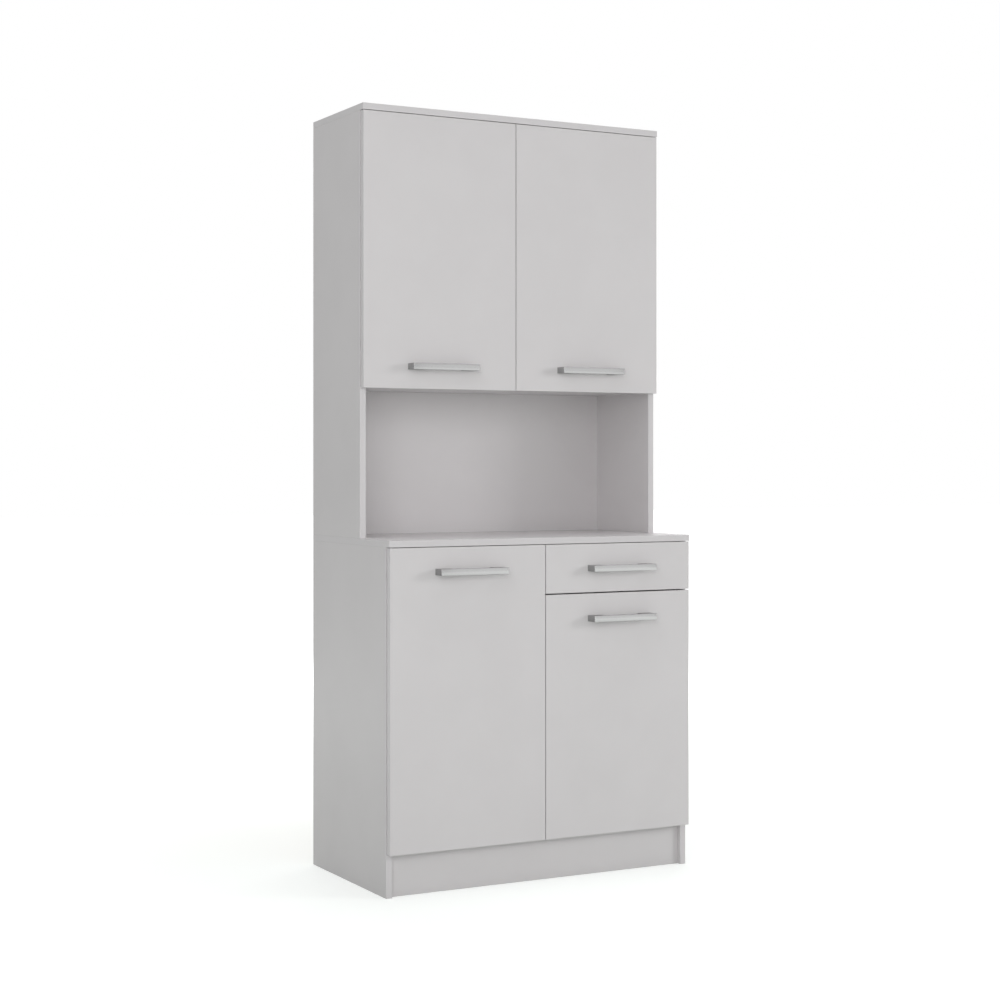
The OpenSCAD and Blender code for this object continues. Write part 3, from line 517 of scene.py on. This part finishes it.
def piece(node, shape, finish, name=None):
    """Puts a shape into the scene for a CAD node, its doubled points merged and its faces turned
    outwards. Faces that meet at over 35 degrees keep a sharp edge."""
    points, loops, sizes = shape
    mesh = bpy.data.meshes.new("finished_" + (name or node))
    mesh.vertices.add(len(points))
    mesh.vertices.foreach_set("co", (points * MM).astype(np.float32).ravel())
    mesh.loops.add(len(loops))
    mesh.loops.foreach_set("vertex_index", loops.astype(np.int32))
    mesh.polygons.add(len(sizes))
    mesh.polygons.foreach_set("loop_start", (np.cumsum(sizes) - sizes).astype(np.int32))
    mesh.update(calc_edges=True)
    skins = bmesh.new()
    skins.from_mesh(mesh)
    bmesh.ops.remove_doubles(skins, verts=skins.verts, dist=MERGE)
    bmesh.ops.recalc_face_normals(skins, faces=skins.faces)
    skins.to_mesh(mesh)
    skins.free()
    mesh.polygons.foreach_set("use_smooth", np.ones(len(mesh.polygons), bool))
    mesh.set_sharp_from_angle(angle=np.radians(35.0))
    adopt(node, mesh, finish)


def dressed(node, finish, make):
    """One piece for a node of many alike solids: make(centre, size, lean) gives each one's shape."""
    piece(node, joined(*(make(*solid) for solid in solids(node))), finish)


def along(lean):
    """The three axes for placed(), of which the third follows the lean's longest part."""
    main = int(np.abs(lean).argmax())
    ahead = np.eye(3)[main] * np.sign(lean[main])
    across = np.eye(3)[(main + 1) % 3]
    return {"x": across, "y": np.cross(ahead, across), "z": ahead}


def merged_copy(node):
    """A copy of a CAD node's mesh, its loose triangles merged, its flat ones joined, and without the
    attributes that it came with."""
    mesh = frame["nodes"][node].data.copy()
    mesh.name = "finished_" + node
    board = bmesh.new()
    board.from_mesh(mesh)
    bmesh.ops.remove_doubles(board, verts=board.verts, dist=MERGE)
    bmesh.ops.dissolve_limit(board, angle_limit=np.radians(0.5), verts=board.verts, edges=board.edges)
    board.to_mesh(mesh)
    board.free()
    for spare in [a.name for a in mesh.attributes if not a.is_required and not a.name.startswith(".")]:
        mesh.attributes.remove(mesh.attributes[spare])
    return mesh


def store(mesh, name, kind, domain, values):
    """A new attribute of a mesh, with a row of the values for each of its faces or edges."""
    inside = "vector" if kind == "FLOAT_VECTOR" else "value"
    mesh.attributes.new(name, kind, domain).data.foreach_set(inside, values.ravel().astype(np.float32))


def mark_faces(mesh, low, high, raw):
    """Marks each face as faced, edge banded or raw. A board's outer faces are faced across its thin side
    and banded across the others, but raw where they look to the rear. A sheet's are faced across its
    thin side, but raw where they look along raw. All other faces are raw. The corners low and high go
    with each face, moved far out across the thin side, so that the edges of a side are the nearest."""
    thin = (high - low).argmin()
    normal, middle = vectors(mesh.polygons, "normal"), vectors(mesh.polygons, "center") / MM
    axis = np.abs(normal).argmax(1)
    rows = np.arange(len(normal))
    ahead, place = normal[rows, axis], middle[rows, axis]
    reach = np.where(ahead > 0, high[axis] - place, place - low[axis])
    outer = (reach < 0.02) & (np.abs(ahead) > 0.99)  # square to an axis, and on an outer plane
    side = outer & (axis == thin)
    if raw is None:
        rear = (axis == 1) & (ahead > 0)
        part = np.where(side, FACED, np.where(outer & ~rear, BANDED, RAW))
    else:
        part = np.where(side & (normal @ raw <= 0.5), FACED, RAW)
    store(mesh, "part", "FLOAT", "FACE", part)
    far = np.where(np.arange(3) == thin, 1e3, 0.0)
    store(mesh, "low", "FLOAT_VECTOR", "FACE", np.tile(low * MM - far, len(rows)))
    store(mesh, "high", "FLOAT_VECTOR", "FACE", np.tile(high * MM + far, len(rows)))


def mark_edges(mesh, shortest):
    """Marks for the bevel each edge that is longer than the shortest and whose two faces lean apart by
    over 45 degrees. Face corners sorted by their edge put an edge's two faces side by side."""
    normal, points = vectors(mesh.polygons, "normal"), vectors(mesh.vertices, "co") / MM
    edges = numbers(mesh.loops, "edge_index")
    faces = np.repeat(np.arange(len(normal)), numbers(mesh.polygons, "loop_total"))
    order = np.argsort(edges, kind="stable")
    shared = np.bincount(edges, minlength=len(mesh.edges))
    first = np.cumsum(shared) - shared
    one, two = faces[order[first]], faces[order[np.minimum(first + 1, len(order) - 1)]]
    sharp = ((normal[one] * normal[two]).sum(1) < 0.7) & (shared == 2)
    ends = numbers(mesh.edges, "vertices", 2)
    length = np.linalg.norm(points[ends[0::2]] - points[ends[1::2]], axis=1)
    store(mesh, "bevel_weight_edge", "FLOAT", "EDGE", sharp & (length > shortest))


def cut_board(node, finish, ease=0.4, shortest=9.0, raw=None):
    """A board from its CAD node, with its grooves and bores. Its edges over the shortest length are
    eased by a bevel of that width."""
    mesh = merged_copy(node)
    mark_faces(mesh, *box(node), raw)
    mark_edges(mesh, shortest)
    mesh.polygons.foreach_set("use_smooth", np.zeros(len(mesh.polygons), bool))
    eased = adopt(node, mesh, finish).modifiers.new("eased edges", "BEVEL")
    eased.limit_method, eased.width, eased.segments = "WEIGHT", ease * MM, 2
    eased.use_clamp_overlap, eased.loop_slide = False, False


# ---- Boards ----

DOORS = ("upper_left", "upper_right", "lower_left", "lower_right")
for node in (
    "lower_left_side", "lower_right_side", "lower_divider", "lower_bottom", "kick_board", "worktop",
    "left_shelf", "right_shelf", "upper_left_side", "upper_right_side", "upper_bottom", "top_panel",
    "upper_shelf", "niche_back", "drawer_front", "drawer_left_side", "drawer_right_side", "drawer_back",
    *(door + "_door" for door in DOORS),
):
    cut_board(node, WHITE_BOARD)
for node, behind in (("lower_back", Y), ("upper_back", Y), ("drawer_bottom", -Z)):
    cut_board(node, HARDBOARD, ease=0.2, raw=behind)
cut_board("wall_brackets", HINGE_STEEL, ease=0.3, shortest=1.2)


# ---- Handles ----

LEG, BAR = 33.0, 9.0  # a leg's width, and how thick the bar is from front to rear


def bar_handle(node):
    """A bar on two legs, cut from one plan: outer corners of 0.6 mm, a finger gap with corners of
    5 mm, and rims of 0.35 mm all round."""
    low, high = box(node)
    width, out, height = high - low
    half, gap = width / 2, width / 2 - LEG
    plan = rounded(
        [
            (-half, 0.0, 0.4), (-half, -out, 0.6), (half, -out, 0.6), (half, 0.0, 0.4),
            (gap, 0.0, 0.4), (gap, BAR - out, 5.0), (-gap, BAR - out, 5.0), (-gap, 0.0, 0.4),
        ]
    )
    centre = (low + high) / 2
    return placed(slab(plan, -height / 2, height / 2, 0.35), (centre[0], high[1], centre[2]))


for node in (*(door + "_handle" for door in DOORS), "drawer_handle"):
    piece(node, bar_handle(node), HANDLE_METAL)


# ---- Small fittings ----


def screw_kind(head_r, head_h, shaft_r, pitch=1.4):
    """What makes the screws of one kind, whose heads stand on what they hold: the head's height and the
    shaft make up the solid's length."""

    def make(centre, size, lean):
        long = float(size.max())
        turn = along(lean)
        shape = screw(head_r, head_h, shaft_r, long - head_h, pitch)
        return placed(shape, centre + turn["z"] * (long / 2 - head_h), **turn)

    return make


handle_screw = screw_kind(4.0, 2.6, 2.0, pitch=0.7)
wood_screw = screw_kind(3.5, 1.5, 1.75)
drawer_screw = screw_kind(2.5, 0.75, 1.75)


def cam_lock(centre, size, lean):
    """A cam lock: a drum with a groove round it and, in its face, a ring groove round a cross recess.
    Its short side is its axis, and the lean along that points to the face."""
    half = float(size.min()) / 2
    shape = turned(
        [
            (-half, 6.9), (-half + 0.5, 7.5), (half - 2.2, 7.5), (half - 2.0, 7.1), (half - 1.4, 7.1),
            (half - 1.2, 7.5), (half - 0.3, 7.5), (half, 7.2), (half, 6.0), (half - 0.35, 5.7),
            (half - 0.35, 4.6), (half, 4.3), (half, cross_shape(3.6)), (half - 2.4, cross_shape(3.0)),
        ]
    )
    turn = along(np.where(size < size.max() - 1.0, lean, 0.0))
    return placed(shape, centre, **turn)


def cam_bolt(centre, size, lean):
    """A cam bolt: a coarse thread in the far board, a collar, a thin neck and a round head."""
    low = -float(size.max()) / 2
    shape = turned(
        [(low, 1.4)]
        + thread(low + 1.0, low + 10.0, 2.5, 0.8, 2.2)
        + [
            (low + 10.6, 2.9), (low + 11.0, 3.3), (low + 12.0, 3.3), (low + 12.4, 2.9), (low + 26.5, 2.9),
            (low + 27.5, 2.3), (low + 32.6, 2.3), (low + 33.2, 3.1), (low + 34.2, 3.3), (low + 35.6, 3.3),
            (low + 36.6, 2.7), (low + 37.0, 1.4),
        ]
    )
    return placed(shape, centre, **along(lean))


def dowel(centre, size, lean):
    """A fluted dowel: the radius drops by a twentieth in every second of its flutes."""
    half = float(size.max()) / 2
    radius = float(size.min()) / 2
    flutes = radius * np.where(np.arange(len(ANGLES)) % 2, 0.95, 1.0)
    shape = turned([(-half, radius * 0.7), (-half + 1.2, flutes), (half - 1.2, flutes), (half, radius * 0.7)])
    return placed(shape, centre, **along(size))


def nail(centre, size, lean):
    """A nail with a low domed head and a pointed shaft."""
    half = float(size.max()) / 2
    shape = turned(
        [
            (-half, 0.1), (-half + 1.6, 0.8), (half - 0.8, 0.8), (half - 0.8, 2.0), (half - 0.35, 1.8),
            (half, 0.9),
        ]
    )
    return placed(shape, centre, **along(lean))


def shelf_pin(centre, size, lean):
    """A pin in the side panel with a tongue under the shelf: the tongue is a gusset, flat on top."""
    inside = -np.sign(lean[0]) * X
    wall = centre + np.array([0.0, 0.0, size[2] / 2])
    side = rounded([(0.0, 0.0, 0.3), (7.0, 0.0, 0.5), (7.0, -1.6, 0.5), (2.2, -5.0, 0.8), (0.0, -5.0, 0.3)])
    tongue = slab(side, -2.5, 2.5, 0.4)
    pin = turned([(-7.0, 1.9), (-6.4, 2.5), (0.2, 2.5)])
    return joined(
        placed(tongue, wall, x=inside, y=Z, z=Y),
        placed(pin, wall - [0.0, 0.0, 2.5], x=Y, y=Z, z=inside),
    )


def bumper(centre, size, lean):
    """A soft stop on a board's front edge: a short foot under a low dome."""
    tall = float(size[1])
    shape = turned([(0.0, 2.9), (0.2, 3.0), (0.7, 3.0), (1.2, 2.7), (1.6, 2.1), (1.88, 1.3), (tall, 0.5)])
    return placed(shape, centre + Y * tall / 2, x=X, y=Z, z=-Y)


for node in (*(door + "_screws" for door in DOORS), "drawer_handle_screws"):
    dressed(node, ZINC, handle_screw)
dressed("wood_screws", ZINC, wood_screw)
dressed("cam_locks", ZINC, cam_lock)
dressed("cam_bolts", ZINC, cam_bolt)
dressed("dowels", BEECH, dowel)
dressed("back_nails", ZINC, nail)
dressed("shelf_pins", ZINC, shelf_pin)
dressed("door_bumpers", BUMPER, bumper)


def fixings(width, make):
    """The drawer's fixings of one width, which tells its runner screws, back screws and dowels apart."""
    return [make(*solid) for solid in solids("drawer_fixings") if abs(solid[1].min() - width) < 0.4]


drawer_screws = fixings(7.0, wood_screw) + fixings(5.0, drawer_screw)
piece("drawer_fixings", joined(*drawer_screws), ZINC, "drawer_screws")
piece("drawer_fixings", joined(*fixings(6.0, dowel)), BEECH, "drawer_dowels")


# ---- Hinges. Their own frame is at the closed door's outer rear edge: u inward, v to the rear ----

FROM_END = 100.0  # from a door's end to its hinge
PANEL_U = 13.5  # the side panel's inner face
ARM_HALF = 7.0  # half the width of the arm and of the rail under it
PLATE_V, REAR_V = 39.0, 59.0  # the mounting plate's middle, and where its rail and the arm end
CUP_U, CUP_R, MOUTH_R = 22.0, 17.3, 16.3  # the cup's middle, its radius outside and inside
RIM = 1.2  # the rim's thickness, and with it the cup's height over the door


def hinge_frames(door):
    """The frame of each of a door's two hinges, as the point and the axes that placed() takes."""
    low, high = box(door + "_door")
    outer, inward = (low[0], X) if "left" in door else (high[0], -X)
    return [{"at": (outer, high[1], z), "x": inward} for z in (low[2] + FROM_END, high[2] - FROM_END)]


def hinge_plate():
    """A mounting plate: a wing with round ends for the two screws, and the rail that the arm slides on."""
    wing = block(PLATE_V - 5.5, PLATE_V + 5.5, -24.0, 24.0, 5.4, PANEL_U, PANEL_U + 2.0, 0.5)
    rail = block(PLATE_V - 20.0, REAR_V, -ARM_HALF, ARM_HALF, 2.0, PANEL_U, PANEL_U + 3.5, 0.6)
    return placed(joined(wing, rail), (0, 0, 0), x=Y, y=Z, z=X)


def hinge_arm():
    """A pressed arm: its side view, with the nose cut back outside the door's swing, carried across
    its width with rolled edges, and two screws with cross recesses in its back."""
    under, over = PANEL_U + 3.5, PANEL_U + 10.5
    side = rounded(
        [
            (under, REAR_V, 1.0), (over, REAR_V, 2.0), (over, -7.0, 1.0), (20.5, -4.2, 1.0),
            (under, -0.8, 1.0),
        ]
    )
    body = slab(side, -ARM_HALF, ARM_HALF, 1.4)
    heads = [placed(screw(3.0, 0.9, 1.9, 5.0), (over, v, 0.0), x=Y, y=Z, z=X) for v in (29.0, 49.0)]
    return joined(body, *heads)


def hinge_cup():
    """A pressed cup with its rim: the rim's outline is a circle of 26 mm cut to 32 mm wide, and from
    it the rings go in to the mouth and down inside. Beside the arm stands the folded link, on one
    rivet, and each of the rim's ends has a round press mark."""
    angles = np.linspace(0, 2 * np.pi, 64, endpoint=False)
    rim = np.minimum(26.0, 16.0 / np.maximum(np.abs(np.cos(angles)), 1e-6))
    cup = turned(
        [
            (-11.5, CUP_R - 1.5), (-11.1, CUP_R - 0.4), (-10.3, CUP_R), (0.0, CUP_R), (0.0, rim - 0.2),
            (0.3, rim), (RIM - 0.3, rim), (RIM, rim - 0.35), (RIM, MOUTH_R + 0.9), (0.9, MOUTH_R + 0.3),
            (0.2, MOUTH_R), (-9.2, MOUTH_R), (-10.1, MOUTH_R - 0.4), (-10.5, MOUTH_R - 1.3),
        ],
        angles,
    )
    turn = {"x": X, "y": Z, "z": Y}
    mark = turned([(1.0, 3.4), (RIM, 3.4), (1.5, 2.9), (1.5, 1.6), (1.3, 1.2)])
    marks = [placed(mark, (CUP_U, 0.0, z), **turn) for z in (-21.0, 21.0)]
    link = rounded([(24.5, -10.4, 0.8), (30.0, -10.4, 0.8), (30.0, 10.0, 2.4), (24.5, 10.0, 2.4)])
    rivet = turned([(-6.5, 1.2), (-6.3, 1.6), (6.3, 1.6), (6.5, 1.2)])
    return joined(
        placed(cup, (CUP_U, 0.0, 0.0), **turn),
        *marks,
        slab(link, -6.0, 6.0, 0.9),
        placed(rivet, (27.2, 7.0, 0.0)),
    )


def at_hinges(doors, shape):
    """The shape once at each hinge of the doors."""
    return joined(*(placed(shape, **place) for door in doors for place in hinge_frames(door)))


piece("hinge_plates", at_hinges(DOORS, hinge_plate()), HINGE_STEEL)
piece("hinge_arms", at_hinges(DOORS, hinge_arm()), HINGE_STEEL)
for door in DOORS:
    piece(door + "_cups", at_hinges([door], hinge_cup()), HINGE_STEEL)


# ---- Drawer runners. w runs from the wall that carries the runner towards the drawer ----

SHEET = 1.2  # the runners' steel
BALL_R = 1.8
EASED = 0.15  # the rims of the members and of the cages


def channel(w0, w1, half, web_first, bend):
    """Outline of a rolled channel: two flanges on a web at w0, or at w1 if the web isn't first, with
    round bends of the radius bend outside and a sheet's thickness less inside."""
    web, lip, inner = w0 + SHEET, half - SHEET, bend - SHEET
    outline = np.array(
        [
            (w1, -half, 0.25), (w0, -half, bend), (w0, half, bend), (w1, half, 0.25),
            (w1, lip, 0.25), (web, lip, inner), (web, -lip, inner), (w1, -lip, 0.25),
        ]
    )
    if not web_first:
        outline[:, 0] = w0 + w1 - outline[:, 0]
    return rounded(outline, steps=5)


ROW = np.linspace(3.5, 116.5, 18)  # where the balls are along their cage
BALL = turned(
    [(BALL_R * np.sin(angle), BALL_R * np.cos(angle)) for angle in np.linspace(-1.3, 1.3, 7)],
    np.linspace(0, 2 * np.pi, 10, endpoint=False),
)


def ball_cage(centre, size, lean):
    """A strip of cage plate 1 mm thick, and the row of balls through it."""
    (x0, y0, _), (x1, y1, _) = centre - size / 2, centre + size / 2
    strip = block(x0, x1, y0, y1, 0.4, centre[2] - 0.5, centre[2] + 0.5, EASED)
    return strip, joined(*(placed(BALL, (centre[0], y0 + step, centre[2])) for step in ROW))


MEMBERS = {
    "outer": channel(0.0, 8.5, 22.5, True, bend=2.0),
    "middle": channel(4.2, 11.2, 17.3, True, bend=1.8),
    "inner": channel(6.4, 12.7, 12.1, False, bend=1.6),
}
for side in ("left", "right"):
    low, high = box(side + "_runner_outer")
    wall, inward = (low[0], X) if side == "left" else (high[0], -X)
    corner = (wall, low[1], (low[2] + high[2]) / 2)
    for member, outline in MEMBERS.items():
        node = f"{side}_runner_{member}"
        shape = slab(outline, 0.0, high[1] - low[1], EASED, steps=2)
        piece(node, placed(shape, corner, x=inward, y=Z, z=Y), RUNNER_STEEL)
    node = side + "_ball_cages"
    strips, rows = zip(*(ball_cage(*solid) for solid in solids(node)))
    piece(node, joined(*strips), CAGE_PLASTIC)
    piece(node, joined(*rows), HINGE_STEEL, side + "_balls")


# ---- Stage, light and camera ----


def looked_at(tree):
    """1 where the camera, a mirror or clear glass sees a background, and 0 where it only lights the
    object."""
    path = tree.node("LightPath")
    return path.most(path.other("Is Glossy Ray")).most(path.other("Is Transmission Ray"))


WHITE = (1, 1, 1, 1)
stage = Finish("studio_floor")
paper = stage.mix(stage.noise(3.0), paint(205, 209, 206), paint(209, 213, 210))
across, deep, _ = stage.axes(stage.where)
away = (across * across + deep * deep).math("SQRT")
plain = stage.node("BsdfDiffuse", sockets={"Color": paper})
glow = stage.node("Emission", sockets={"Color": WHITE, "Strength": 0.5 + away.fade(0.6, 4.0) * 0.5})
lifted = stage.node("AddShader", sockets={0: plain, 1: glow})
shown = stage.node("MixShader", sockets={0: looked_at(stage), 1: plain, 2: lifted})
stage.node("OutputMaterial", sockets={"Surface": shown})

LINES = 5  # the floor is a square grid with so many lines each way
reach = np.linspace(-30.0, 30.0, LINES)
flat = np.zeros((LINES, LINES))
grid = np.stack([*np.meshgrid(reach, reach, indexing="ij"), flat], -1).reshape(-1, 3)
spot = (np.arange(LINES - 1)[:, None] * LINES + np.arange(LINES - 1)).ravel()
tiles = np.stack([spot, spot + LINES, spot + LINES + 1, spot + 1], -1)
floor_mesh = bpy.data.meshes.new("studio_floor")
floor_mesh.from_pydata(grid.tolist(), [], tiles.tolist())
floor_mesh.materials.append(stage.material)
floor = bpy.data.objects.new("studio_floor", floor_mesh)
bpy.context.scene.collection.objects.link(floor)

world = bpy.data.worlds.new("studio")
world.use_nodes = True
bpy.context.scene.world = world
air = Finish("studio_air", world.node_tree)
room = air.node("Background", sockets={"Color": WHITE, "Strength": 0.225})
behind = air.node("Background", sockets={"Color": WHITE, "Strength": 1.0})
mixed = air.node("MixShader", sockets={0: looked_at(air), 1: room, 2: behind})
air.node("OutputWorld", sockets={"Surface": mixed})

# Each lamp's place, the point it looks at, its width in metres and its power in watts
LAMPS = {
    "key": ((3.93, -2.96, 1.77), (0.0, -0.1, 0.9), 1.4, 62.0),
    "front": ((-2.6, -4.2, 1.5), (0.0, -0.1, 0.9), 2.4, 69.0),
    "fill": ((2.3, -4.2, 1.2), (0.1, -0.1, 0.9), 2.4, 6.2),
    "high": ((-3.0, -2.4, 3.6), (0.0, -0.1, 0.9), 2.4, 28.0),
    "top": ((0.0, -0.2, 8.0), (0.0, 0.0, 0.9), 4.0, 200.0),
    "rear": ((0.9, 4.6, 1.8), (0.2, 0.2, 0.9), 2.4, 70.0),
    "rear_side": ((3.2, 3.4, 2.6), (0.2, 0.1, 0.9), 2.4, 40.0),
}
GLARING = ("key", "rear", "rear_side")  # their mirror images would glare on the boards and the handles
for name, (place, aim, size, power) in LAMPS.items():
    lamp = bpy.data.lights.new(name, "AREA")
    lamp.shape, lamp.size, lamp.energy = "SQUARE", size, power
    holder = bpy.data.objects.new(name, lamp)
    holder.location = place
    holder.visible_glossy = name not in GLARING
    holder.rotation_euler = (Vector(aim) - Vector(place)).to_track_quat("-Z", "Y").to_euler()
    bpy.context.scene.collection.objects.link(holder)

# The camera's place, turn and lens are worked out from the lines along which the boards' edges run
lens = bpy.data.cameras.new("camera")
lens.sensor_width, lens.lens = 36.0, 68.53
lens.shift_x, lens.shift_y = 0.0, -0.03566
lens.clip_start, lens.clip_end = 0.1, 100.0
camera = bpy.data.objects.new("camera", lens)
camera.location = (-2.186242, -4.048178, 0.970414)
camera.rotation_euler = np.radians([90.0, 0.0, -28.241])
bpy.context.scene.collection.objects.link(camera)
bpy.context.scene.camera = camera
bpy.context.scene.view_settings.view_transform = "Standard"
